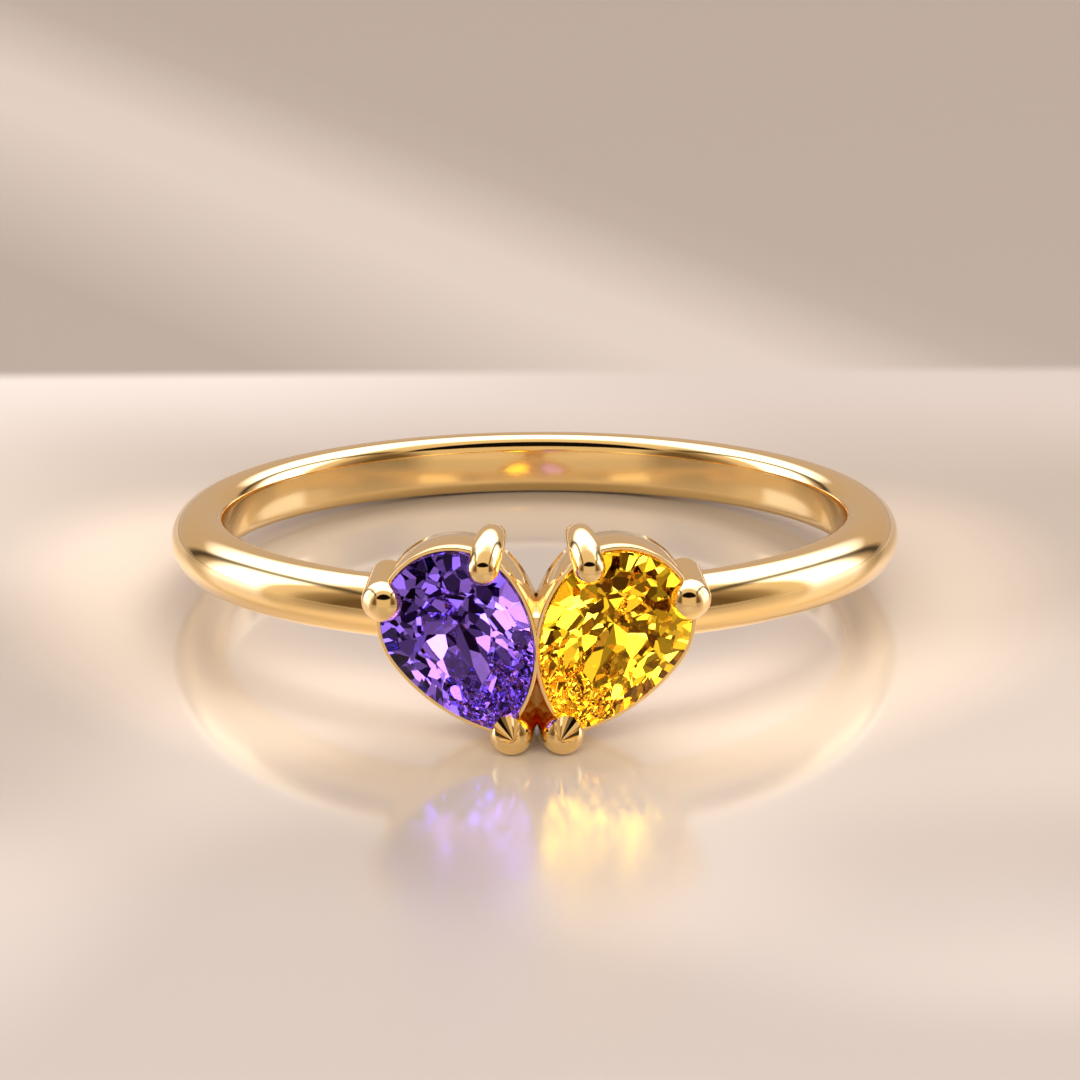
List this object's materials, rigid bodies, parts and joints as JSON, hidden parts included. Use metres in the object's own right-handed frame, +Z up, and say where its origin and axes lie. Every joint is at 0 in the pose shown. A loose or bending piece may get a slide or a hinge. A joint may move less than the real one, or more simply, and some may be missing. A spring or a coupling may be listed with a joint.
{
  "type": "finger ring",
  "caption": "Polished gold finger ring whose side-by-side pear-cut stones, violet and golden yellow, form a heart in a prong head; it lies on its side.",
  "frame": {"origin": "on the floor, under the middle of the ring's length and width as it lies", "axes": "-Y towards the heart, +X towards the golden stone, +Z up, about 6 degrees off the finger's axis"},
  "size_m": [0.0202, 0.0232, 0.006],
  "materials": {
    "gold": "polished gold",
    "violet_gem": "faceted violet stone",
    "golden_gem": "faceted golden yellow stone"
  },
  "bodies": {
    "root": {"mounting": "gold", "violet_stone": "violet_gem", "golden_stone": "golden_gem"}
  },
  "joints": []
}
